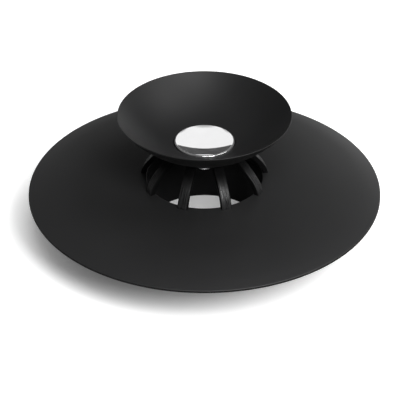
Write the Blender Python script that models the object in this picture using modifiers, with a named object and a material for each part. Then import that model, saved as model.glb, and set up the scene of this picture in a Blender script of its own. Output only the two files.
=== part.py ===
# Pop-up sink strainer. A soft sloping flange has a short collar under its hole, which goes
# into the drain. A cage of curved arms stands on the rim of the hole and carries a dished
# stopper with a pressed metal button. Water runs between the arms while the stopper is up,
# and pushing the button folds the arms until the stopper closes the hole.
#
# Metres, +Z up. The origin is the middle of the collar's foot, the face it stands on.

import math

import bmesh
import bpy
from mathutils import Vector
from mathutils.geometry import interpolate_bezier

# Fits
CLEARANCE = 0.0003

# Flange
FLANGE_RADIUS = 0.0650
FLANGE_RIM_THICKNESS = 0.0012
FLANGE_HOLE_THICKNESS = 0.0024
FLANGE_RISE = 0.0042
FLANGE_BULGE = 0.0006
FLANGE_SEAT_WIDTH = 0.0030
FLANGE_EDGE_ROUND = 0.0004
RIM_HEIGHT = 0.0174
HOLE_RADIUS = 0.0214

# Collar
COLLAR_WALL = 0.0020
COLLAR_LEAD_IN = 0.0006
COLLAR_LEAD_IN_LENGTH = 0.0020
COLLAR_EDGE_ROUND = 0.0002

# Cage
ARM_COUNT = 9
ARM_WIDTH = 0.0038
ARM_THICKNESS = 0.0019
ARM_FOOT_INSET = 0.0003
ARM_FOOT_HANDLE = 0.0045
ARM_TOP_HANDLE = 0.0038
ARM_EDGE_ROUND = 0.0002
CAGE_HUB_RADIUS = 0.0143
CAGE_HUB_WALL = 0.0014
CAGE_HUB_EDGE_THICKNESS = 0.0009
CAGE_HUB_DEPTH = 0.0038
CAGE_HUB_FOOT_RADIUS = 0.0058
CAGE_HUB_EDGE_ROUND = 0.00015

# Stopper bowl
STOPPER_LIFT = 0.0127
BOWL_RADIUS = 0.0309
BOWL_DEPTH = 0.0119
BOWL_SAG = 0.0020
BOWL_WALL = 0.0019
BOWL_RIM_WALL = 0.0012
BOWL_RIM_FLARE = 0.0006
BOWL_EDGE_ROUND = 0.0003
BOWL_FLOOR = 0.0011
RECESS_DEPTH = 0.0022

# Button
BUTTON_RADIUS = 0.0110
BUTTON_HEIGHT = 0.0025
BUTTON_DISH_DEPTH = 0.0017
BUTTON_RIM_ROUND = 0.0006
BOSS_RADIUS = 0.0030
BOSS_LENGTH = 0.0036

# Screw and washer
SCREW_RADIUS = 0.0015
SCREW_REACH = 0.0050
SCREW_HEAD_RADIUS = 0.0030
SCREW_HEAD_HEIGHT = 0.0022
SCREW_HEAD_SIDE_SHARE = 0.6
WASHER_RADIUS = 0.0044
WASHER_THICKNESS = 0.0008
METAL_EDGE_ROUND = 0.00015

# Angles and powers
ARM_FOOT_LEAN = math.radians(3)
ARM_TOP_LEAN = math.radians(43)
BOWL_TAPER_POWER = 6
STRAIGHT_ANGLE = math.radians(0.5)
ROUND_ANGLE = math.radians(32)

# Facets
WIDE_STEPS = 64
MIDDLE_STEPS = 48
SMALL_STEPS = 24
FLANGE_POINTS = 5
BOWL_POINTS = 6
DISH_POINTS = 5
DOME_POINTS = 4
ARM_POINTS = 8
TURNED_ROUND_SEGMENTS = 2
ARM_ROUND_SEGMENTS = 1
MERGE_DISTANCE = 0.000001

# Heights that the pieces share
LIP_HEIGHT = RIM_HEIGHT + FLANGE_RIM_THICKNESS + FLANGE_RISE
RECESS_FLOOR = LIP_HEIGHT + STOPPER_LIFT
RECESS_RADIUS = BUTTON_RADIUS + CLEARANCE
BUTTON_SEAT = RECESS_FLOOR + CLEARANCE
CAGE_HUB_FACE = RECESS_FLOOR - BOWL_FLOOR - CLEARANCE
CAGE_HUB_FOOT = CAGE_HUB_FACE - CAGE_HUB_DEPTH
CAGE_HUB_SOCKET_RADIUS = CAGE_HUB_RADIUS - CAGE_HUB_WALL
WASHER_TOP = CAGE_HUB_FOOT - CLEARANCE
HEAD_TOP = WASHER_TOP - WASHER_THICKNESS - CLEARANCE
SCREW_HOLE_RADIUS = SCREW_RADIUS + CLEARANCE
BOSS_HOLE_RADIUS = BOSS_RADIUS + CLEARANCE


def spread(start, end, count):
    """Evenly spaced values from start to end, both included."""
    return [start + (end - start) * i / (count - 1) for i in range(count)]


def flange_top(radius):
    """Height of the flange's upper face: a slope with a slight bulge."""
    share = (FLANGE_RADIUS - radius) / (FLANGE_RADIUS - HOLE_RADIUS)
    return RIM_HEIGHT + FLANGE_RIM_THICKNESS + FLANGE_RISE * share + 4 * FLANGE_BULGE * share * (1 - share)


def flange_underside(radius):
    """Height of the flange's lower face: the wall grows from the rim to the hole."""
    share = (FLANGE_RADIUS - radius) / (FLANGE_RADIUS - HOLE_RADIUS)
    wall = FLANGE_RIM_THICKNESS + (FLANGE_HOLE_THICKNESS - FLANGE_RIM_THICKNESS) * share
    return flange_top(radius) - wall


def bowl_share(radius):
    """Place across the bowl's wall: 0 at the button's recess, 1 at the rim."""
    return (radius - RECESS_RADIUS) / (BOWL_RADIUS - RECESS_RADIUS)


def bowl_inside(radius):
    """Height of the bowl's inner face, a dish that steepens towards its rim."""
    share = bowl_share(radius)
    return RECESS_FLOOR + RECESS_DEPTH + BOWL_DEPTH * share - 4 * BOWL_SAG * share * (1 - share)


def bowl_underside(radius):
    """Height of the bowl's lower face: the wall thins quickly near the rim."""
    wall = BOWL_WALL - (BOWL_WALL - BOWL_RIM_WALL) * bowl_share(radius) ** BOWL_TAPER_POWER
    return bowl_inside(radius) - wall


def make_material(name, colour, roughness, metallic):
    material = bpy.data.materials.new(name)
    material.use_nodes = True
    surface = material.node_tree.nodes["Principled BSDF"]
    surface.inputs["Base Color"].default_value = (*colour, 1)
    surface.inputs["Roughness"].default_value = roughness
    surface.inputs["Metallic"].default_value = metallic
    material.diffuse_color = (*colour, 1)
    return material


def black_rubber(name):
    return make_material(name, (0.016, 0.016, 0.017), 0.55, 0)


def polished_metal(name):
    return make_material(name, (0.78, 0.79, 0.80), 0.08, 1)


def plain_steel(name):
    return make_material(name, (0.55, 0.55, 0.56), 0.3, 1)


def add_rounding(piece, width, segments):
    """Rounds the edges where two faces meet at more than a gentle angle."""
    rounding = piece.modifiers.new("rounded edges", "BEVEL")
    rounding.width = width
    rounding.segments = segments
    rounding.limit_method = "ANGLE"
    rounding.angle_limit = ROUND_ANGLE


def turn(name, outline, steps, closed, edge_round, material, collection):
    """A turned piece. The outline is radius and height, down the outer side from its top."""
    mesh = bpy.data.meshes.new(name)
    edges = [(i, i + 1) for i in range(len(outline) - 1)]
    if closed:
        edges.append((len(outline) - 1, 0))
    mesh.from_pydata([(radius, 0, height) for radius, height in outline], edges, [])
    mesh.materials.append(material)
    piece = bpy.data.objects.new(name, mesh)
    collection.objects.link(piece)
    lathe = piece.modifiers.new("turned", "SCREW")
    lathe.steps = steps
    lathe.render_steps = steps
    lathe.use_merge_vertices = True
    lathe.merge_threshold = MERGE_DISTANCE
    lathe.use_smooth_shade = True
    add_rounding(piece, edge_round, TURNED_ROUND_SEGMENTS)
    return piece


def make_flange(collection):
    """The plate: a sloping wall, with a flat seat under its rim that lies on the sink."""
    seat_radius = FLANGE_RADIUS - FLANGE_SEAT_WIDTH
    top = [(radius, flange_top(radius)) for radius in spread(HOLE_RADIUS, FLANGE_RADIUS, FLANGE_POINTS)]
    seat = [(FLANGE_RADIUS, RIM_HEIGHT), (seat_radius, RIM_HEIGHT)]
    under = [(radius, flange_underside(radius)) for radius in spread(seat_radius, HOLE_RADIUS, FLANGE_POINTS)]
    return turn("flange", top + seat + under, WIDE_STEPS, True, FLANGE_EDGE_ROUND,
                black_rubber("flange_rubber"), collection)


def make_collar(collection):
    """The drain tube: it meets the flange's underside, and its foot is tapered to find the drain."""
    outer = HOLE_RADIUS + COLLAR_WALL
    outline = [
        (HOLE_RADIUS, flange_underside(HOLE_RADIUS) - CLEARANCE),
        (outer, flange_underside(outer) - CLEARANCE),
        (outer, COLLAR_LEAD_IN_LENGTH),
        (outer - COLLAR_LEAD_IN, 0),
        (HOLE_RADIUS, 0),
    ]
    return turn("collar", outline, MIDDLE_STEPS, True, COLLAR_EDGE_ROUND,
                black_rubber("collar_rubber"), collection)


def cage_hub_top(radius):
    """Height of the top of the cage hub's rim, which runs along under the bowl."""
    return bowl_underside(radius) - CLEARANCE


def cage_hub_underside(radius):
    """Height of the cage hub's lower face, a cone from its edge down to its foot."""
    edge = cage_hub_top(CAGE_HUB_RADIUS) - CAGE_HUB_EDGE_THICKNESS
    share = (radius - CAGE_HUB_FOOT_RADIUS) / (CAGE_HUB_RADIUS - CAGE_HUB_FOOT_RADIUS)
    return CAGE_HUB_FOOT + (edge - CAGE_HUB_FOOT) * share


def make_cage_hub(collection):
    """The cage's hub: a coned plug whose socket holds the bowl's middle."""
    outline = [
        (CAGE_HUB_SOCKET_RADIUS, cage_hub_top(CAGE_HUB_SOCKET_RADIUS)),
        (CAGE_HUB_RADIUS, cage_hub_top(CAGE_HUB_RADIUS)),
        (CAGE_HUB_RADIUS, cage_hub_underside(CAGE_HUB_RADIUS)),
        (CAGE_HUB_FOOT_RADIUS, CAGE_HUB_FOOT),
        (BOSS_HOLE_RADIUS, CAGE_HUB_FOOT),
        (BOSS_HOLE_RADIUS, CAGE_HUB_FACE),
        (CAGE_HUB_SOCKET_RADIUS, CAGE_HUB_FACE),
    ]
    return turn("cage_hub", outline, MIDDLE_STEPS, True, CAGE_HUB_EDGE_ROUND,
                black_rubber("cage_hub_rubber"), collection)


def arm_outline():
    """The strap seen from its side: near upright at its foot, leaning in over the hole."""
    foot = Vector((HOLE_RADIUS + ARM_FOOT_INSET + ARM_THICKNESS, 0))
    foot.y = flange_top(foot.x) + CLEARANCE
    top = Vector((CAGE_HUB_RADIUS, cage_hub_underside(CAGE_HUB_RADIUS) - CLEARANCE))
    foot_turn = Vector((-math.sin(ARM_FOOT_LEAN), math.cos(ARM_FOOT_LEAN)))
    top_turn = Vector((-math.sin(ARM_TOP_LEAN), math.cos(ARM_TOP_LEAN)))
    outer = interpolate_bezier(foot, foot + foot_turn * ARM_FOOT_HANDLE,
                               top - top_turn * ARM_TOP_HANDLE, top, ARM_POINTS)
    inner = []
    for i, point in enumerate(outer):
        along = outer[min(i + 1, ARM_POINTS - 1)] - outer[max(i - 1, 0)]
        inner.append(point - Vector((along.y, -along.x)).normalized() * ARM_THICKNESS)
    inner[0].y = flange_top(inner[0].x) + CLEARANCE
    inner[-1].y = cage_hub_underside(inner[-1].x) - CLEARANCE
    return outer + inner[::-1]


def make_arm_mesh():
    """One strap, its side outline given the arm's width."""
    outline = arm_outline()
    curve = bpy.data.curves.new("arm", "CURVE")
    curve.dimensions = "2D"
    curve.fill_mode = "BOTH"
    curve.extrude = ARM_WIDTH / 2
    spline = curve.splines.new("POLY")
    spline.points.add(len(outline) - 1)
    spline.use_cyclic_u = True
    for point, position in zip(spline.points, outline):
        point.co = (*position, 0, 1)

    flat = bpy.data.objects.new("arm outline", curve)
    bpy.context.scene.collection.objects.link(flat)
    bpy.context.view_layer.update()
    mesh = bpy.data.meshes.new_from_object(flat.evaluated_get(bpy.context.evaluated_depsgraph_get()))
    bpy.data.objects.remove(flat)

    welded = bmesh.new()
    welded.from_mesh(mesh)
    bmesh.ops.remove_doubles(welded, verts=welded.verts, dist=MERGE_DISTANCE)
    bmesh.ops.dissolve_limit(welded, angle_limit=STRAIGHT_ANGLE, verts=welded.verts, edges=welded.edges)
    bmesh.ops.recalc_face_normals(welded, faces=welded.faces)
    welded.to_mesh(mesh)
    welded.free()
    mesh.materials.clear()
    mesh.materials.append(black_rubber("arm_rubber"))
    return mesh


def make_arms(collection):
    """The arms stand round the hole, with a window and not an arm at the front."""
    mesh = make_arm_mesh()
    pitch = math.tau / ARM_COUNT
    front = -math.pi / 2
    for number in range(ARM_COUNT):
        arm = bpy.data.objects.new(f"arm_{number + 1}", mesh)
        arm.rotation_euler = (math.pi / 2, 0, front + pitch * (number + 1 / 2))
        collection.objects.link(arm)
        add_rounding(arm, ARM_EDGE_ROUND, ARM_ROUND_SEGMENTS)


def make_bowl(collection):
    """The stopper: a dish with a recess for the button, and a plug that sits in the cage hub."""
    plug_radius = CAGE_HUB_SOCKET_RADIUS - CLEARANCE
    plug_foot = RECESS_FLOOR - BOWL_FLOOR
    rim_out = BOWL_RADIUS + BOWL_RIM_FLARE
    inside = [(radius, bowl_inside(radius)) for radius in spread(RECESS_RADIUS, BOWL_RADIUS, BOWL_POINTS)]
    edge = [(rim_out, bowl_inside(BOWL_RADIUS) - BOWL_RIM_FLARE)]
    under = [(radius, bowl_underside(radius)) for radius in spread(BOWL_RADIUS, plug_radius, BOWL_POINTS)]
    plug = [(plug_radius, plug_foot), (BOSS_HOLE_RADIUS, plug_foot)]
    recess = [(BOSS_HOLE_RADIUS, RECESS_FLOOR), (RECESS_RADIUS, RECESS_FLOOR)]
    return turn("bowl", inside + edge + under + plug + recess, WIDE_STEPS, True, BOWL_EDGE_ROUND,
                black_rubber("bowl_rubber"), collection)


def make_button(collection):
    """The pressed metal button: a dished face for the fingertip, and a tapped boss below."""
    top = BUTTON_SEAT + BUTTON_HEIGHT
    dish_radius = BUTTON_RADIUS - BUTTON_RIM_ROUND
    boss_foot = BUTTON_SEAT - BOSS_LENGTH
    tapped_end = HEAD_TOP + SCREW_REACH + CLEARANCE
    dish = [(radius, top - BUTTON_DISH_DEPTH * (1 - (radius / dish_radius) ** 2))
            for radius in spread(0, dish_radius, DISH_POINTS)]
    rim = [(dish_radius + BUTTON_RIM_ROUND * math.sin(turned), top - BUTTON_RIM_ROUND * (1 - math.cos(turned)))
           for turned in spread(0, math.pi / 2, DOME_POINTS)[1:]]
    below = [
        (BUTTON_RADIUS, BUTTON_SEAT),
        (BOSS_RADIUS, BUTTON_SEAT),
        (BOSS_RADIUS, boss_foot),
        (SCREW_HOLE_RADIUS, boss_foot),
        (SCREW_HOLE_RADIUS, tapped_end),
        (0, tapped_end),
    ]
    return turn("button", dish + rim + below, MIDDLE_STEPS, False, METAL_EDGE_ROUND,
                polished_metal("button_metal"), collection)


def make_washer(collection):
    """The washer spreads the screw's pull over the cage hub's foot."""
    bottom = WASHER_TOP - WASHER_THICKNESS
    outline = [
        (SCREW_HOLE_RADIUS, WASHER_TOP),
        (WASHER_RADIUS, WASHER_TOP),
        (WASHER_RADIUS, bottom),
        (SCREW_HOLE_RADIUS, bottom),
    ]
    return turn("washer", outline, SMALL_STEPS, True, METAL_EDGE_ROUND,
                plain_steel("washer_steel"), collection)


def make_screw(collection):
    """The screw: a domed head below the washer, and a shank up into the button's boss."""
    side = HEAD_TOP - SCREW_HEAD_HEIGHT * SCREW_HEAD_SIDE_SHARE
    dome = side - (HEAD_TOP - SCREW_HEAD_HEIGHT)
    shank = [
        (0, HEAD_TOP + SCREW_REACH),
        (SCREW_RADIUS, HEAD_TOP + SCREW_REACH),
        (SCREW_RADIUS, HEAD_TOP),
        (SCREW_HEAD_RADIUS, HEAD_TOP),
    ]
    head = [(SCREW_HEAD_RADIUS * math.cos(turned), side - dome * math.sin(turned))
            for turned in spread(0, math.pi / 2, DOME_POINTS)]
    return turn("screw", shank + head, SMALL_STEPS, False, METAL_EDGE_ROUND,
                plain_steel("screw_steel"), collection)


def main():
    for old in list(bpy.data.objects):
        bpy.data.objects.remove(old)
    collection = bpy.data.collections.new("sink_strainer")
    bpy.context.scene.collection.children.link(collection)

    make_flange(collection)
    make_collar(collection)
    make_arms(collection)

    lift = bpy.data.objects.new("stopper_lift", None)
    lift.location = (0, 0, LIP_HEIGHT)
    collection.objects.link(lift)
    stopper = [
        make_cage_hub(collection),
        make_bowl(collection),
        make_button(collection),
        make_washer(collection),
        make_screw(collection),
    ]
    for piece in stopper:
        piece.parent = lift
        piece.location = (0, 0, -LIP_HEIGHT)


main()
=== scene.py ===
import math
import bpy
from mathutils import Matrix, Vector


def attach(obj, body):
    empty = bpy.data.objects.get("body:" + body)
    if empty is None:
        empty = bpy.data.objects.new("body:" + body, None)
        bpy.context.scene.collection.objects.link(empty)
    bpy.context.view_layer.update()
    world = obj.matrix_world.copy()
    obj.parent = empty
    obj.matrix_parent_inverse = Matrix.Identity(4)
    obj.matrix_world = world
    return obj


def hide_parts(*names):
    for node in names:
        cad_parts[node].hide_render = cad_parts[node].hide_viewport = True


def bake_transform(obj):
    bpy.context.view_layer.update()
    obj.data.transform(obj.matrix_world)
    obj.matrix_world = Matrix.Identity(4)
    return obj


# A pop-up sink strainer in soft black rubber with a polished metal button.
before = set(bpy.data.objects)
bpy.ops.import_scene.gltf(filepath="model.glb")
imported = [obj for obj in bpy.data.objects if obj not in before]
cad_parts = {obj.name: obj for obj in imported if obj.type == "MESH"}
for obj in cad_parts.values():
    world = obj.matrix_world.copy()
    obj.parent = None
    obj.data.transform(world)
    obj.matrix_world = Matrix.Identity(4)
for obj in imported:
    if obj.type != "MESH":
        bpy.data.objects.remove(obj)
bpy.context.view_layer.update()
print("strainer: the frame is loaded")


# Shader maths is written as plain sums on these.
class Wire:
    def __init__(self, tree, socket):
        self.tree = tree
        self.socket = socket

    def maths(self, kind, *values):
        node = self.tree.nodes.new("ShaderNodeMath")
        node.operation = kind
        for slot, value in zip(node.inputs, values):
            if isinstance(value, Wire):
                self.tree.links.new(value.socket, slot)
            else:
                slot.default_value = value
        return Wire(self.tree, node.outputs[0])

    def __add__(self, other):
        return self.maths("ADD", self, other)

    def __radd__(self, other):
        return self.maths("ADD", other, self)

    def __sub__(self, other):
        return self.maths("SUBTRACT", self, other)

    def __rsub__(self, other):
        return self.maths("SUBTRACT", other, self)

    def __mul__(self, other):
        return self.maths("MULTIPLY", self, other)

    def __rmul__(self, other):
        return self.maths("MULTIPLY", other, self)

    def __truediv__(self, other):
        return self.maths("DIVIDE", self, other)

    def __rtruediv__(self, other):
        return self.maths("DIVIDE", other, self)

    def __pow__(self, other):
        return self.maths("POWER", self, other)

    def __rpow__(self, other):
        return self.maths("POWER", other, self)

    def __abs__(self):
        return self.maths("ABSOLUTE", self)


class Nodes:
    def __init__(self, tree):
        self.tree = tree

    # any node: its kind, its settings, then the values or wires of its sockets
    def node(self, kind, settings=None, sockets=None, output=0):
        made = self.tree.nodes.new("ShaderNode" + kind)
        for key, value in (settings or {}).items():
            setattr(made, key, value)
        for key, value in (sockets or {}).items():
            if isinstance(value, Wire):
                self.tree.links.new(value.socket, made.inputs[key])
            else:
                made.inputs[key].default_value = value
        return Wire(self.tree, made.outputs[output])

    def place(self):
        return self.node("TexCoord", output="Object")

    def part(self, vector, axis):
        return self.node("SeparateXYZ", None, {"Vector": vector}, axis)

    def noise(self, where, scale, detail, roughness=0.5):
        return self.node("TexNoise", {"noise_dimensions": "3D"},
                         {"Vector": where, "Scale": scale, "Detail": detail, "Roughness": roughness}, "Fac")

    # low up to the first value, high from the last one on, and a slope between
    def ramp(self, value, first, last, low=0.0, high=1.0, shape="LINEAR"):
        return self.node("MapRange", {"clamp": True, "interpolation_type": shape},
                         {"Value": value, "From Min": first, "From Max": last,
                          "To Min": low, "To Max": high})

    # from one colour to another by a share; each is a wire or three numbers
    def mix(self, share, first, second):
        first, second = (shade if isinstance(shade, Wire) else (*shade, 1) for shade in (first, second))
        return self.node("Mix", {"data_type": "RGBA"}, {0: share, 6: first, 7: second}, 2)

    def bump(self, height, distance, strength):
        return self.node("Bump", None,
                         {"Height": height, "Distance": distance, "Strength": strength}, "Normal")


class Finish(Nodes):
    def __init__(self, name, fixed):
        self.material = bpy.data.materials.new(name)
        self.material.use_nodes = True
        super().__init__(self.material.node_tree)
        self.shader = self.tree.nodes["Principled BSDF"]
        for socket, value in fixed.items():
            self.shader.inputs[socket].default_value = value

    def main(self):
        return Wire(self.tree, self.shader.outputs[0])

    def show(self, surface):
        self.tree.links.new(surface.socket, self.tree.nodes["Material Output"].inputs["Surface"])

    # a second shader that takes over where the share is one
    def alsoShader(self, share, sockets):
        other = self.node("BsdfPrincipled", None, sockets)
        self.show(self.node("MixShader", None, {0: share, 1: self.main(), 2: other}))

    def drive(self, **wires):
        for socket, wire in wires.items():
            self.tree.links.new(wire.socket, self.shader.inputs[socket.replace("_", " ")])
        return self.material


def distance(across, along):
    return (across * across + along * along) ** 0.5


def toned(colour, tone):
    return tuple(value * tone for value in colour)


# Black rubber: a moulded skin with a fine grain, cloudy in its gloss, paler at its edges from wear and a
# painted sheen, with painted shade and less gloss where it looks down, and on the flange a painted sheen
# towards the rim. A piece's own values come before these.
rubber = {
    "deepTone": 0.75, "paleTone": 1.25, "rimSheenTone": 1.8, "relief": 0.6,
    "cloudScale": 60, "cloudDetail": 3, "cloudiness": 0.10, "cloudShare": 0.55,
    "grainScale": 3600, "grainDetail": 2, "grainShare": 0.7,
    "speckScale": 0.31, "speckDetail": 4, "speckSharpness": 0.65, "speckRoughness": 0.12,
    "edgeWearSheen": (0.02, 0.02, 0.021), "edgeWearSheenFrom": 0.52, "edgeWearSheenTo": 0.60,
    "belowFrom": 0.0, "belowTo": -0.25, "belowRoughness": 0.45, "belowDeepTone": 0.8, "belowPaleTone": 1.2,
}


def blackRubber(name, piece):
    look = {**rubber, **piece}
    colour, dull = look["colour"], look["below"]
    finish = Finish(name, {"Specular IOR Level": look["gloss"], "Metallic": 0.0})
    where = finish.place()
    clouds = finish.noise(where, look["cloudScale"], look["cloudDetail"])
    grain = finish.noise(where, look["grainScale"], look["grainDetail"])
    specks = finish.noise(where, look["grainScale"] * look["speckScale"], look["speckDetail"],
                          look["speckSharpness"])
    shade = clouds * look["cloudShare"] + specks * (1 - look["cloudShare"])
    skin = finish.mix(shade, toned(colour, look["deepTone"]), toned(colour, look["paleTone"]))
    # painted sheen: the skin turns paler towards the outer rim, by radius, where light catches the rolled rim
    if "rimSheenShare" in look:
        radius = distance(finish.part(where, "X"), finish.part(where, "Y"))
        outer = finish.ramp(radius, look["rimSheenFrom"], look["rimSheenTo"], 0.0, look["rimSheenShare"])
        skin = finish.mix(outer, skin, toned(colour, look["rimSheenTone"]))
    # edges turn paler by their pointiness: partly wear, partly a painted sheen along the edges
    pointed = finish.node("NewGeometry", output="Pointiness")
    edge = finish.ramp(pointed, look["edgeWearSheenFrom"], look["edgeWearSheenTo"])
    skin = finish.mix(edge * look["wearAndSheen"], skin, look["edgeWearSheen"])
    # faces that look down take the below colour, on most pieces darker than the skin: painted shade, together
    # with a rougher, less glossy finish
    facing = finish.part(finish.node("NewGeometry", output="Normal"), "Z")
    below = finish.ramp(facing, look["belowFrom"], look["belowTo"])
    skin = finish.mix(below * look["shadedAndDullBelow"], skin, dull)
    rough = look["roughness"] + (clouds - 0.5) * look["cloudiness"] + (specks - 0.5) * look["speckRoughness"]
    rough = rough + below * (look["shadedAndDullBelow"] * look["belowRoughness"])
    height = grain * look["grainShare"] + specks * (1 - look["grainShare"])
    relief = finish.bump(height, look["grainDepth"], look["relief"])
    if "matt" in look:
        cloudy = finish.mix(clouds, toned(dull, look["belowDeepTone"]), toned(dull, look["belowPaleTone"]))
        finish.alsoShader(below, {"Base Color": cloudy, "Roughness": rough,
                                  "Specular IOR Level": look["matt"], "Normal": relief})
    return finish.drive(Base_Color=skin, Roughness=rough, Normal=relief)


# Modelling helpers: each starts from nothing selected, because the CAD nodes arrive selected.
def nothingSelected():
    bpy.ops.object.select_all(action="DESELECT")


def startRing(name, around, radius, height, fill="NOTHING"):
    nothingSelected()
    bpy.ops.mesh.primitive_circle_add(vertices=around, radius=radius, fill_type=fill, location=(0, 0, height))
    piece = bpy.context.active_object
    piece.name = name
    bpy.ops.object.transform_apply(location=True, rotation=True, scale=True)
    bpy.ops.object.mode_set(mode="EDIT")
    bpy.ops.mesh.select_mode(type="EDGE")
    bpy.ops.mesh.select_all(action="DESELECT")
    bpy.ops.mesh.select_non_manifold()
    return piece


# Each ring is pulled out of the last one, then scaled and lifted to its radius and height.
def growRings(start, rings):
    radius, height = start
    for nextRadius, nextHeight in rings:
        bpy.ops.mesh.extrude_edges_move()
        share = nextRadius / radius
        bpy.ops.transform.resize(value=(share, share, 1), center_override=(0, 0, 0))
        bpy.ops.transform.translate(value=(0, 0, nextHeight - height))
        radius, height = nextRadius, nextHeight


def joinEnds():
    bpy.ops.mesh.select_all(action="DESELECT")
    bpy.ops.mesh.select_non_manifold()
    bpy.ops.mesh.bridge_edge_loops()


def facesOutwards():
    bpy.ops.mesh.select_all(action="SELECT")
    bpy.ops.mesh.normals_make_consistent(inside=False)


# An edgeRound is these three: a width, a number of steps, and the angle past which an edge is sharp.
def roundEdges(width, segments, angle=30):
    bpy.ops.mesh.select_all(action="DESELECT")
    bpy.ops.mesh.select_mode(type="EDGE")
    bpy.ops.mesh.edges_select_sharp(sharpness=math.radians(angle))
    bpy.ops.mesh.bevel(offset=width, segments=segments, affect="EDGES")


def smoothed(piece):
    bpy.ops.object.mode_set(mode="OBJECT")
    softer = piece.modifiers.new("softer", "SUBSURF")
    softer.levels = softer.render_levels = 1
    bpy.ops.object.modifier_apply(modifier=softer.name)
    bpy.ops.object.shade_smooth()
    return piece


# A ring-shaped piece: its outline goes once round its wall and is closed at the end.
def turned(name, around, start, rings, *rounding):
    piece = startRing(name, around, *start)
    growRings(start, rings)
    joinEnds()
    facesOutwards()
    roundEdges(*rounding)
    return smoothed(piece)


def dressed(piece, material, slot, body=None, *nodes):
    piece.data.materials.clear()
    piece.data.materials.append(material)
    if body:
        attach(piece, body)
    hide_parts(*nodes)


def spread(first, last, count):
    return [first + (last - first) * i / (count - 1) for i in range(count)]


# Flange: the sloping plate that covers the drain.
flange = {
    "radius": 0.0650, "rimThickness": 0.0012, "holeThickness": 0.0024, "rise": 0.0042, "bulge": 0.0006,
    "rimHeight": 0.0174, "holeRadius": 0.0214, "seatWidth": 0.0030, "underInset": 0.0008,
    "rollWidth": 0.0080, "rollDrop": 0.00030, "edgeRound": (0.00024, 4),
    "around": 128, "topRings": 14, "rollRings": 8, "underRings": 12,
    "colour": (0.0110, 0.0110, 0.0113), "edgeWearSheen": (0.03, 0.03, 0.032), "gloss": 0.45, "roughness": 0.42,
    "rimSheenFrom": 0.044, "rimSheenTo": 0.065, "rimSheenShare": 0.5,
    "cloudScale": 45, "cloudiness": 0.06, "grainDepth": 0.00002, "wearAndSheen": 0.15,
    "below": (0.0060, 0.0060, 0.0061), "shadedAndDullBelow": 1.0, "matt": 0.10, "belowFrom": 0.80, "belowTo": 0.30,
}


# nought at the rim, one at the hole
def flangeShare(radius):
    return (flange["radius"] - radius) / (flange["radius"] - flange["holeRadius"])


def flangeTop(radius):
    share = flangeShare(radius)
    return (flange["rimHeight"] + flange["rimThickness"] + flange["rise"] * share
            + 4 * flange["bulge"] * share * (1 - share))


def flangeUnderside(radius):
    growth = (flange["holeThickness"] - flange["rimThickness"]) * flangeShare(radius)
    return flangeTop(radius) - flange["rimThickness"] - growth


def makeFlange():
    hole = flange["holeRadius"]
    rim = flange["radius"]
    seat = rim - flange["seatWidth"]
    rollStart = rim - flange["rollWidth"]
    start = (hole, flangeUnderside(hole))
    rings = [(r, flangeTop(r)) for r in spread(hole, rollStart, flange["topRings"])]
    for radius in spread(rollStart, rim, flange["rollRings"])[1:]:
        roll = 1 - (rim - radius) / flange["rollWidth"]
        rings.append((radius, flangeTop(radius) - flange["rollDrop"] * roll ** 2))
    rings += [(rim, flange["rimHeight"]), (seat, flange["rimHeight"])]
    underEnd = hole + flange["underInset"]
    rings += [(r, flangeUnderside(r)) for r in spread(seat, underEnd, flange["underRings"])]
    piece = turned("flangePlate", flange["around"], start, rings, *flange["edgeRound"])
    dressed(piece, blackRubber("flangeRubber", flange), "flange_rubber", "strainer", "flange")


makeFlange()
print("strainer: flange done")


# Collar: the short tube that goes down into the drain.
collar = {
    "wall": 0.0020, "leadIn": 0.0006, "leadInLength": 0.0020, "edgeRound": (0.00025, 3), "gap": 0.00004,
    "upperRing": 0.0170, "lowerRing": 0.0030, "wallRings": 6, "around": 96,
    # the collar's colour is darker than the flange's: painted shade for the inside of the hole
    "colour": (0.0065, 0.0065, 0.0068), "gloss": 0.05, "roughness": 0.60, "grainDepth": 0.00003, "wearAndSheen": 0.3,
    "below": (0.0080, 0.0080, 0.0082), "shadedAndDullBelow": 0.4,
}


def makeCollar():
    inner = flange["holeRadius"]
    outer = inner + collar["wall"]
    start = (inner, flangeUnderside(inner) - collar["gap"])
    rings = [(outer, flangeUnderside(outer) - collar["gap"])]
    rings += [(outer, z) for z in spread(collar["upperRing"], collar["leadInLength"], collar["wallRings"])]
    rings += [(outer - collar["leadIn"], 0), (inner, 0)]
    rings += [(inner, z) for z in spread(collar["lowerRing"], collar["upperRing"], collar["wallRings"])]
    piece = turned("drainCollar", collar["around"], start, rings, *collar["edgeRound"])
    dressed(piece, blackRubber("collarRubber", collar), "collar_rubber", "strainer", "collar")


makeCollar()
print("strainer: collar done")


# Stopper bowl: the dish over the hole, with a recess for the button and a plug below it.
bowl = {
    "lift": 0.0355, "radius": 0.0309, "depth": 0.0119, "sag": 0.0020, "wall": 0.0019, "rimWall": 0.0012,
    "lipReach": 0.0315, "lipDrop": 0.0004, "lipWidth": 0.0001, "taperPower": 6, "recessRadius": 0.0113,
    "recessDepth": 0.0022, "floor": 0.0011, "floorRing": 0.0070, "plugRadius": 0.0126, "bore": 0.0033,
    "edgeRound": (0.00020, 4), "around": 128, "wallRings": 15,
    "colour": (0.0122, 0.0122, 0.0125), "gloss": 0.22, "roughness": 0.48,
    "cloudScale": 70, "cloudiness": 0.08, "grainScale": 4200, "grainDepth": 0.00002, "wearAndSheen": 0.12,
    "below": (0.0045, 0.0045, 0.0046), "shadedAndDullBelow": 1.0, "matt": 0.08,
}


# nought at the button's recess, one at the rim
def bowlShare(radius):
    return (radius - bowl["recessRadius"]) / (bowl["radius"] - bowl["recessRadius"])


def bowlInside(radius):
    share = bowlShare(radius)
    return bowl["lift"] + bowl["recessDepth"] + bowl["depth"] * share - 4 * bowl["sag"] * share * (1 - share)


def bowlUnderside(radius):
    thinning = (bowl["wall"] - bowl["rimWall"]) * bowlShare(radius) ** bowl["taperPower"]
    return bowlInside(radius) - (bowl["wall"] - thinning)


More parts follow.
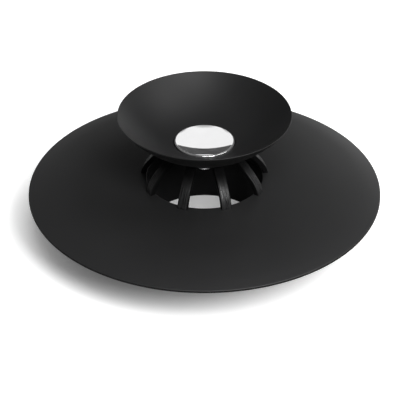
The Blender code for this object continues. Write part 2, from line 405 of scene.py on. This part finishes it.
def makeBowl():
    recess = bowl["recessRadius"]
    rim = bowl["radius"]
    plugFoot = bowl["lift"] - bowl["floor"]
    reach = (bowl["lipReach"] - bowl["lipWidth"] - recess) / (rim - recess)
    start = (bowl["bore"], bowl["lift"])
    rings = [(bowl["floorRing"], bowl["lift"]), (recess, bowl["lift"])]
    rings += [(recess + (r - recess) * reach, bowlInside(r)) for r in spread(recess, rim, bowl["wallRings"])]
    rings += [(bowl["lipReach"], bowlInside(rim) - bowl["lipDrop"])]
    rings += [(r, bowlUnderside(r)) for r in spread(rim, bowl["plugRadius"], bowl["wallRings"])]
    rings += [(r, plugFoot) for r in (bowl["plugRadius"], bowl["floorRing"], bowl["bore"])]
    piece = turned("stopperBowl", bowl["around"], start, rings, *bowl["edgeRound"])
    dressed(piece, blackRubber("bowlRubber", bowl), "bowl_rubber", "stopper", "bowl")


makeBowl()
print("strainer: bowl done")


# Cage hub: the coned middle of the cage, which holds the bowl's plug.
hub = {
    "radius": 0.0143, "socket": 0.0129, "edgeThickness": 0.0009, "face": 0.0341, "faceRing": 0.0080,
    "foot": 0.0303, "footRadius": 0.0058, "bore": 0.0033, "gap": 0.0001, "coneGap": 0.0003,
    "edgeRound": (0.00018, 3), "around": 72, "coneRings": 5,
    "colour": (0.0090, 0.0090, 0.0093), "gloss": 0.12, "roughness": 0.52, "grainDepth": 0.00003, "wearAndSheen": 0.3,
    "below": (0.0070, 0.0070, 0.0072), "shadedAndDullBelow": 0.6,
}


def hubTop(radius):
    return bowlUnderside(radius) - hub["gap"]


def hubUnderside(radius):
    edge = bowlUnderside(hub["radius"]) - hub["coneGap"] - hub["edgeThickness"]
    share = (radius - hub["footRadius"]) / (hub["radius"] - hub["footRadius"])
    return hub["foot"] + (edge - hub["foot"]) * share


def makeHub():
    start = (hub["socket"], hub["face"])
    rings = [(r, hubTop(r)) for r in (hub["socket"], hub["radius"])]
    rings += [(r, hubUnderside(r)) for r in spread(hub["radius"], hub["footRadius"], hub["coneRings"])]
    rings += [(hub["bore"], hub["foot"]), (hub["bore"], hub["face"]), (hub["faceRing"], hub["face"])]
    piece = turned("cageHub", hub["around"], start, rings, *hub["edgeRound"])
    dressed(piece, blackRubber("hubRubber", hub), "cage_hub_rubber", "stopper", "cage_hub")


makeHub()
print("strainer: cage hub done")


# Arms: nine straps from the rim of the hole up to the hub. One is modelled and eight are copies.
arm = {
    "count": 9, "width": 0.0038, "thickness": 0.0019, "footInset": 0.0003, "footHandle": 0.0045,
    "topHandle": 0.0038, "footLean": 3, "topLean": 43, "sink": 0.00015, "topGap": 0.0002, "steps": 18,
    "edgeRound": (0.00028, 3, 40),
    # the glossy outer face, with its limits by depth and by share of the width
    "deep": (0.0020, 0.0020, 0.0021), "pale": (0.0180, 0.0180, 0.0185), "gloss": 0.22, "roughness": 0.38,
    "faceFrom": 0.35, "faceTo": 0.85, "edgeFrom": 0.50, "edgeTo": 0.44,
    # the sides and the inner face, darker as painted shade and less glossy, and the painted shade under the
    # bowl by height
    "side": (0.0040, 0.0040, 0.0042), "sideShadeDark": (0.0020, 0.0020, 0.0021), "matt": 0.05,
    "sideRoughness": 0.3, "bowlShadeFrom": 0.0290, "bowlShadeTo": 0.0330, "bowlShadeShare": 0.85, "darkRoughness": 0.5,
    # each noise is its scale, its detail and its roughness
    "clouds": (90, 3), "cloudiness": 0.10, "grain": (3600, 2), "grainDepth": 0.00001, "relief": 0.6,
    "streaks": (2100, 3, 0.6), "streakStretch": 0.04, "streakFrom": 0.38, "streakTo": 0.62,
    "streakShare": 0.75, "streakRoughness": 0.40, "streakDepth": 0.00007,
}


def leaning(degrees):
    return Vector((-math.sin(math.radians(degrees)), math.cos(math.radians(degrees))))


# the strap's middle line, as radius, height and lean, from its foot to its top
def armLine():
    footRadius = flange["holeRadius"] + arm["footInset"] + arm["thickness"]
    foot = Vector((footRadius, flangeTop(footRadius) - arm["sink"]))
    top = Vector((hub["radius"], hubUnderside(hub["radius"]) - arm["topGap"]))
    corners = [foot, foot + leaning(arm["footLean"]) * arm["footHandle"],
               top - leaning(arm["topLean"]) * arm["topHandle"], top]
    line = []
    for share in spread(0, 1, arm["steps"] + 1):
        back = 1 - share
        point = (corners[0] * back ** 3 + corners[1] * 3 * share * back ** 2
                 + corners[2] * 3 * share ** 2 * back + corners[3] * share ** 3)
        along = (3 * back ** 2 * (corners[1] - corners[0]) + 6 * back * share * (corners[2] - corners[1])
                 + 3 * share ** 2 * (corners[3] - corners[2])).normalized()
        middle = point + Vector((-along.y, along.x)) * arm["thickness"] / 2
        line.append((middle, math.atan2(-along.x, along.y)))
    return line


def makeArmShape(line):
    middle, lean = line[0]
    nothingSelected()
    bpy.ops.mesh.primitive_plane_add(size=1, location=(0, middle.x, middle.y))
    piece = bpy.context.active_object
    piece.name = "cageArm1"
    piece.scale = (arm["width"], arm["thickness"], 1)
    bpy.ops.object.transform_apply(location=True, rotation=True, scale=True)
    bpy.ops.object.mode_set(mode="EDIT")
    bpy.ops.mesh.select_mode(type="FACE")
    bpy.ops.mesh.select_all(action="SELECT")
    for nextMiddle, nextLean in line[1:]:
        step = nextMiddle - middle
        bpy.ops.mesh.extrude_region_move()
        bpy.ops.transform.translate(value=(0, step.x, step.y))
        bpy.ops.transform.rotate(value=lean - nextLean, orient_axis="X",
                                 center_override=(0, nextMiddle.x, nextMiddle.y))
        middle, lean = nextMiddle, nextLean
    facesOutwards()
    roundEdges(*arm["edgeRound"])
    return smoothed(piece)


# where a point is on the straight strap, kept with the mesh so that the streaks follow each copy: how far
# across and along it is, and how near its outer face
def markArm(piece, line):
    marks = piece.data.attributes.new("strapPlace", "FLOAT_VECTOR", "POINT")
    values = []
    for vertex in piece.data.vertices:
        place = Vector((vertex.co.y, vertex.co.z))
        middle, lean = min(line, key=lambda spot: (spot[0] - place).length)
        outwards = Vector((math.cos(lean), math.sin(lean)))
        values += [vertex.co.x, vertex.co.z, (place - middle).dot(outwards) / arm["thickness"] * 2]
    marks.data.foreach_set("vector", values)


def armRubber():
    finish = Finish("armRubber", {"Specular IOR Level": arm["gloss"], "Metallic": 0.0})
    where = finish.place()
    onStrap = finish.node("Attribute", {"attribute_name": "strapPlace"}, output="Vector")
    across = abs(finish.part(onStrap, "X"))
    onFace = (finish.ramp(finish.part(onStrap, "Z"), arm["faceFrom"], arm["faceTo"])
              * finish.ramp(across, arm["width"] * arm["edgeFrom"], arm["width"] * arm["edgeTo"]))
    stretched = finish.node("Mapping", None, {"Vector": onStrap, "Scale": (1, arm["streakStretch"], 0)})
    streaks = finish.ramp(finish.noise(stretched, *arm["streaks"]), arm["streakFrom"], arm["streakTo"])
    clouds = finish.noise(where, *arm["clouds"])
    grain = finish.noise(where, *arm["grain"])
    # painted shade: the sides, the inner face and the top under the bowl take darker colours
    upwards = finish.ramp(finish.part(onStrap, "Y"), arm["bowlShadeFrom"], arm["bowlShadeTo"])
    unshadedFace = onFace * (1 - upwards * arm["bowlShadeShare"])
    bright = (clouds * (1 - arm["streakShare"]) + streaks * arm["streakShare"]) * unshadedFace
    skin = finish.mix(bright, arm["deep"], arm["pale"])
    rough = arm["roughness"] + (streaks - 0.5) * arm["streakRoughness"] + (clouds - 0.5) * arm["cloudiness"]
    rough = rough + (1 - onFace) * arm["sideRoughness"] + upwards * arm["darkRoughness"]
    height = streaks * arm["streakDepth"] + grain * arm["grainDepth"]
    relief = finish.bump(height, 1.0, arm["relief"])
    finish.alsoShader(1 - unshadedFace, {"Base Color": finish.mix(clouds, arm["sideShadeDark"], arm["side"]),
                                   "Roughness": rough, "Specular IOR Level": arm["matt"], "Normal": relief})
    return finish.drive(Base_Color=skin, Roughness=rough, Normal=relief)


def selectOnly(piece):
    nothingSelected()
    piece.select_set(True)
    bpy.context.view_layer.objects.active = piece


def makeArms():
    line = armLine()
    first = makeArmShape(line)
    markArm(first, line)
    material = armRubber()
    pitch = 360 / arm["count"]
    footHeight = flangeTop(flange["holeRadius"])
    topHeight = hubUnderside(hub["radius"])
    straps = [first]
    for number in range(2, arm["count"] + 1):
        selectOnly(first)
        bpy.ops.object.duplicate(linked=False)
        straps.append(bpy.context.active_object)
        straps[-1].name = f"cageArm{number}"
    for number, strap in enumerate(straps, 1):
        selectOnly(strap)
        # half a pitch off, so that a window and not an arm is at the front
        strap.rotation_euler = (0, 0, math.radians(180 + pitch * (number - 0.5)))
        bpy.ops.object.transform_apply(location=True, rotation=True, scale=True)
        dressed(strap, material, "arm_rubber", None, f"arm_{number}")
        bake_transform(strap)


makeArms()
print("strainer: arms done")


# Button: a pressed metal disc, dished for the fingertip, with a narrow sloping rim and a boss below.
button = {
    "radius": 0.0110, "seat": 0.0358, "height": 0.0025, "dish": 0.00162, "crease": 0.00002,
    "rimLean": 25, "rimWidth": 0.00042, "rimRound": 0.00014, "rimRing": 0.00010, "footRound": 0.0002,
    "bossRadius": 0.0030, "bossLength": 0.0036, "bore": 0.0016, "boreEnd": 0.0342,
    # rings that hold the dish's curve and close the ends
    "middleRing": 0.0006, "dishRing": 0.0014, "dishMargin": 0.00012, "seatRing": 0.0070, "endRing": 0.0003,
    "around": 96, "dishRings": 14, "roundRings": 6, "edgeRound": (0.00002, 2, 44),
    "colour": (0.91, 0.91, 0.915), "dulled": (0.80, 0.80, 0.805), "film": 0.14, "relief": 0.8,
    "turnedMarks": (9000, 2, 0.6), "turnedDepth": 0.000001,
    "smears": (320, 4, 0.6), "smearDepth": 0.000004, "smearShare": 0.7,
}


# polished all over, so that it mirrors what stands round it: its marks are in its colour and its relief
def buttonMetal():
    finish = Finish("buttonMetal", {"Roughness": 0.0})
    where = finish.place()
    radius = distance(finish.part(where, "X"), finish.part(where, "Y"))
    turnedMarks = finish.noise(finish.node("CombineXYZ", None, {"X": radius}), *button["turnedMarks"])
    smears = finish.noise(where, *button["smears"])
    shade = smears * button["smearShare"] + turnedMarks * (1 - button["smearShare"])
    skin = finish.mix(shade, button["dulled"], button["colour"])
    height = turnedMarks * button["turnedDepth"] + smears * button["smearDepth"]
    film = 1.0 - smears * button["film"]
    return finish.drive(Base_Color=skin, Metallic=film, Normal=finish.bump(height, 1.0, button["relief"]))


def makeButton():
    seat = button["seat"]
    top = seat + button["height"]
    bossFoot = seat - button["bossLength"]
    crease = button["crease"]
    rimRound = button["rimRound"]
    lean = math.radians(button["rimLean"])
    roundRadius = button["radius"] - rimRound * (1 - math.sin(lean))
    roundHeight = top - button["rimWidth"] * math.tan(lean)
    dishRadius = roundRadius - button["rimWidth"]

    def dishHeight(r):
        return top - button["dish"] * (1 - (r / dishRadius) ** 2)

    start = (button["middleRing"], dishHeight(button["middleRing"]))
    piece = startRing("pushButton", button["around"], *start, fill="TRIFAN")
    dishEnd = dishRadius - button["dishMargin"]
    rings = [(r, dishHeight(r)) for r in spread(button["dishRing"], dishEnd, button["dishRings"])]
    rings += [(dishRadius - crease, dishHeight(dishRadius - crease)), (dishRadius, top)]
    rings += [(dishRadius + r, top - r * math.tan(lean)) for r in (crease, button["rimRing"])]
    rings += [(roundRadius - r, roundHeight + r * math.tan(lean)) for r in (crease, 0)]
    rings += [(roundRadius + rimRound * (math.sin(a) - math.sin(lean)),
               roundHeight - rimRound * (math.cos(lean) - math.cos(a)))
              for a in spread(lean, math.pi / 2, button["roundRings"])[1:]]
    rings += [(button["radius"], seat + button["footRound"]), (button["radius"] - button["footRound"], seat)]
    rings += [(button["seatRing"], seat), (button["bossRadius"], seat), (button["bossRadius"], bossFoot)]
    rings += [(button["bore"], bossFoot), (button["bore"], button["boreEnd"])]
    rings += [(button["endRing"], button["boreEnd"])]
    growRings(start, rings)
    bpy.ops.mesh.merge(type="CENTER")
    facesOutwards()
    roundEdges(*button["edgeRound"])
    smoothed(piece)
    dressed(piece, buttonMetal(), "button_metal", "stopper", "button")


makeButton()
print("strainer: button done")


# Screw and washer: they hold the button, bowl and cage together from below.
fastener = {
    "washerTop": 0.0300, "washerThickness": 0.0008, "washerRadius": 0.0044, "hole": 0.0017,
    "washerRound": (0.00014, 3), "headTop": 0.0289, "headRadius": 0.0030, "sideHeight": 0.00135,
    "sideLean": 0.00022, "sideRing": 0.0006, "cornerRound": 0.00025, "cornerRings": 6,
    "crown": 0.0001, "crownRings": (0.0012, 0.0003), "screwRound": (0.00008, 2, 60),
    "shankRadius": 0.0015, "reach": 0.0050, "tipWidth": 0.0002, "tipHeight": 0.0003, "endRing": 0.0004,
    "around": 48,
    # roughness, then the dull and the bright steel
    "washerSteel": (0.34, (0.46, 0.46, 0.47), (0.62, 0.62, 0.63)),
    "screwSteel": (0.28, (0.70, 0.70, 0.71), (0.88, 0.88, 0.89)),
    "grain": (2400, 3, 0.6), "spots": (500, 3), "spotRoughness": 0.15, "grainRelief": (0.000008, 0.5),
}


def plainSteel(name):
    roughness, dull, bright = fastener[name]
    finish = Finish(name, {"Metallic": 1.0})
    where = finish.place()
    grain = finish.noise(where, *fastener["grain"])
    spots = finish.noise(where, *fastener["spots"])
    skin = finish.mix(grain * 0.5 + spots * 0.5, dull, bright)
    rough = roughness + (spots - 0.5) * fastener["spotRoughness"]
    relief = finish.bump(grain, *fastener["grainRelief"])
    return finish.drive(Base_Color=skin, Roughness=rough, Normal=relief)


def makeWasher():
    top = fastener["washerTop"]
    bottom = top - fastener["washerThickness"]
    start = (fastener["hole"], top)
    rings = [(fastener["washerRadius"], top), (fastener["washerRadius"], bottom), (fastener["hole"], bottom)]
    piece = turned("hubWasher", fastener["around"], start, rings, *fastener["washerRound"])
    dressed(piece, plainSteel("washerSteel"), "washer_steel", "stopper", "washer")


def makeScrew():
    head = fastener["headRadius"]
    headTop = fastener["headTop"]
    shank = fastener["shankRadius"]
    corner = fastener["cornerRound"]
    side = headTop - fastener["sideHeight"]
    tip = headTop + fastener["reach"]
    sideTop = head - fastener["sideLean"]
    start = (fastener["endRing"], tip)
    piece = startRing("holdingScrew", fastener["around"], *start, fill="TRIFAN")
    rings = [(shank - fastener["tipWidth"], tip), (shank, tip - fastener["tipHeight"]), (shank, headTop)]
    rings += [(sideTop, headTop), (sideTop, headTop - fastener["sideRing"])]
    rings += [(head - corner * (1 - math.cos(a)), side - corner * math.sin(a))
              for a in spread(0, math.pi / 2, fastener["cornerRings"])]
    rings += [(r, side - corner - fastener["crown"]) for r in fastener["crownRings"]]
    growRings(start, rings)
    bpy.ops.mesh.merge(type="CENTER")
    facesOutwards()
    roundEdges(*fastener["screwRound"])
    smoothed(piece)
    dressed(piece, plainSteel("screwSteel"), "screw_steel", "stopper", "screw")


makeWasher()
makeScrew()
print("strainer: washer and screw done")


# Studio: a pale floor, white to the camera where nothing shades it, with a painted shadow and painted light
# in its glow near the object, and soft light from the front right.
studio = {
    "floorSize": 6.0, "floorColour": 0.85, "floorRoughness": 0.9, "world": 0.045,
    "lampDistance": 1.2, "lampAim": 0.02,
    # the floor's own glow to the camera, by radius: raised in the hole as painted light, low under and beside
    # the flange round a shifted middle as a painted shadow, and up to white far off
    "holeLift": 0.07, "underLift": 0.115, "floorLift": 0.485, "shadowPlace": (-0.0100, 0.0024),
    "holeEdge": (0.022, 0.032), "shadowEdge": (0.041, 0.068), "farEdge": (0.3, 1.3),
    # what the polished metal mirrors: a white backdrop behind, by its slope from the object, and a dim room
    "backdropWidth": (0.42, 0.46), "backdropHeight": (1.75, 2.20), "room": 0.085, "leastAhead": 0.01,
}
# each softbox: its place round the object from the front, its height in degrees, watts, width and height
softboxes = {
    "keySoftbox": (30, 40, 13.2, 0.40, 0.60),
    "frontSoftbox": (8, 59, 5.8, 0.50, 0.55),
    "topSoftbox": (90, 56, 5.0, 0.70, 0.65),
    "sideSoftbox": (120, 12, 1.2, 0.50, 0.50),
    "backSoftbox": (156, 11, 1.10, 0.60, 0.34),
    "leftSoftbox": (196, 11, 0.21, 0.50, 0.34),
}


def makeFloor():
    nothingSelected()
    bpy.ops.mesh.primitive_plane_add(size=studio["floorSize"], location=(0, 0, 0))
    floor = bpy.context.active_object
    floor.name = "paleFloor"
    finish = Finish("paleFloorPaint", {"Roughness": studio["floorRoughness"], "Specular IOR Level": 0.0,
                                       "Base Color": (studio["floorColour"],) * 3 + (1,)})
    seen = finish.node("LightPath", output="Is Camera Ray")
    mirrored = finish.node("LightPath", output="Is Glossy Ray")
    through = finish.node("LightPath", output="Is Transmission Ray")
    where = finish.place()
    across = finish.part(where, "X")
    along = finish.part(where, "Y")
    radius = distance(across, along)
    shaded = distance(across - studio["shadowPlace"][0], along - studio["shadowPlace"][1])
    under = studio["underLift"]
    clear = studio["floorLift"]
    # painted light in the hole and a painted shadow round a shifted middle, in the floor's glow to the camera
    paintedLightInHole = finish.ramp(radius, *studio["holeEdge"], studio["holeLift"], 0.0)
    paintedShadowRing = finish.ramp(shaded, *studio["shadowEdge"], under, clear, "SMOOTHSTEP")
    farther = finish.ramp(radius, *studio["farEdge"], 0.0, 1.0 - clear, "SMOOTHSTEP")
    strength = (seen + through) * (paintedLightInHole + paintedShadowRing + farther) + mirrored * under
    lift = finish.node("Emission", None, {"Strength": strength})
    finish.show(finish.node("AddShader", None, {0: finish.main(), 1: lift}))
    floor.data.materials.append(finish.material)


def makeWorld():
    world = bpy.data.worlds.new("paleStudio")
    bpy.context.scene.world = world
    world.use_nodes = True
    background = world.node_tree.nodes["Background"]
    background.inputs["Color"].default_value = (1, 1, 1, 1)
    light = Nodes(world.node_tree)
    direction = light.node("TexCoord", output="Generated")
    ahead = light.part(direction, "Y")
    ahead = ahead.maths("MAXIMUM", ahead, studio["leastAhead"])
    panel = (light.ramp(abs(light.part(direction, "X")) / ahead, *studio["backdropWidth"], 1.0, 0.0)
             * light.ramp(light.part(direction, "Z") / ahead, *studio["backdropHeight"], 1.0, 0.0))
    # white to the camera; polished metal mirrors the white backdrop behind and the dim room in front
    white = light.node("LightPath", output="Is Camera Ray")
    white = white.maths("MAXIMUM", white, light.node("LightPath", output="Is Transmission Ray"))
    mirrored = light.node("LightPath", output="Is Singular Ray")
    backdrop = panel * (1 - studio["room"]) + studio["room"]
    strength = white + mirrored * backdrop + (1 - white) * (1 - mirrored) * studio["world"]
    world.node_tree.links.new(strength.socket, background.inputs["Strength"])


def makeSoftbox(name, turn, rise, power, width, height):
    turn, rise = math.radians(turn), math.radians(rise)
    towards = Vector((math.sin(turn) * math.cos(rise), -math.cos(turn) * math.cos(rise), math.sin(rise)))
    lamp = bpy.data.lights.new(name, "AREA")
    lamp.energy = power
    lamp.shape = "ELLIPSE"
    lamp.size = width
    lamp.size_y = height
    softbox = bpy.data.objects.new(name, lamp)
    bpy.context.scene.collection.objects.link(softbox)
    softbox.location = towards * studio["lampDistance"] + Vector((0, 0, studio["lampAim"]))
    softbox.rotation_euler = (-towards).to_track_quat("-Z", "Y").to_euler()


# Camera: set to the outlines in the photograph. Its elevation and its tilt are in degrees.
photoCamera = {
    "distance": 0.59736, "elevation": 33.15325, "tilt": 33.626, "raised": 0.018,
    "lens": 144.968, "sensor": 36, "shift": -4.5 / 400, "nearest": 0.01, "farthest": 20,
}


def makeCamera():
    elevation = math.radians(photoCamera["elevation"])
    lens = bpy.data.cameras.new("photoCamera")
    lens.sensor_width = photoCamera["sensor"]
    lens.lens = photoCamera["lens"]
    lens.shift_x = photoCamera["shift"]
    lens.clip_start = photoCamera["nearest"]
    lens.clip_end = photoCamera["farthest"]
    camera = bpy.data.objects.new("photoCamera", lens)
    bpy.context.scene.collection.objects.link(camera)
    camera.location = (0, -photoCamera["distance"] * math.cos(elevation),
                       photoCamera["distance"] * math.sin(elevation) + photoCamera["raised"])
    camera.rotation_euler = (math.radians(90 - photoCamera["tilt"]), 0, 0)
    bpy.context.scene.camera = camera


makeFloor()
makeWorld()
for softboxName, settings in softboxes.items():
    makeSoftbox(softboxName, *settings)
makeCamera()
bpy.context.scene.view_settings.view_transform = "Standard"
print("strainer: studio done")
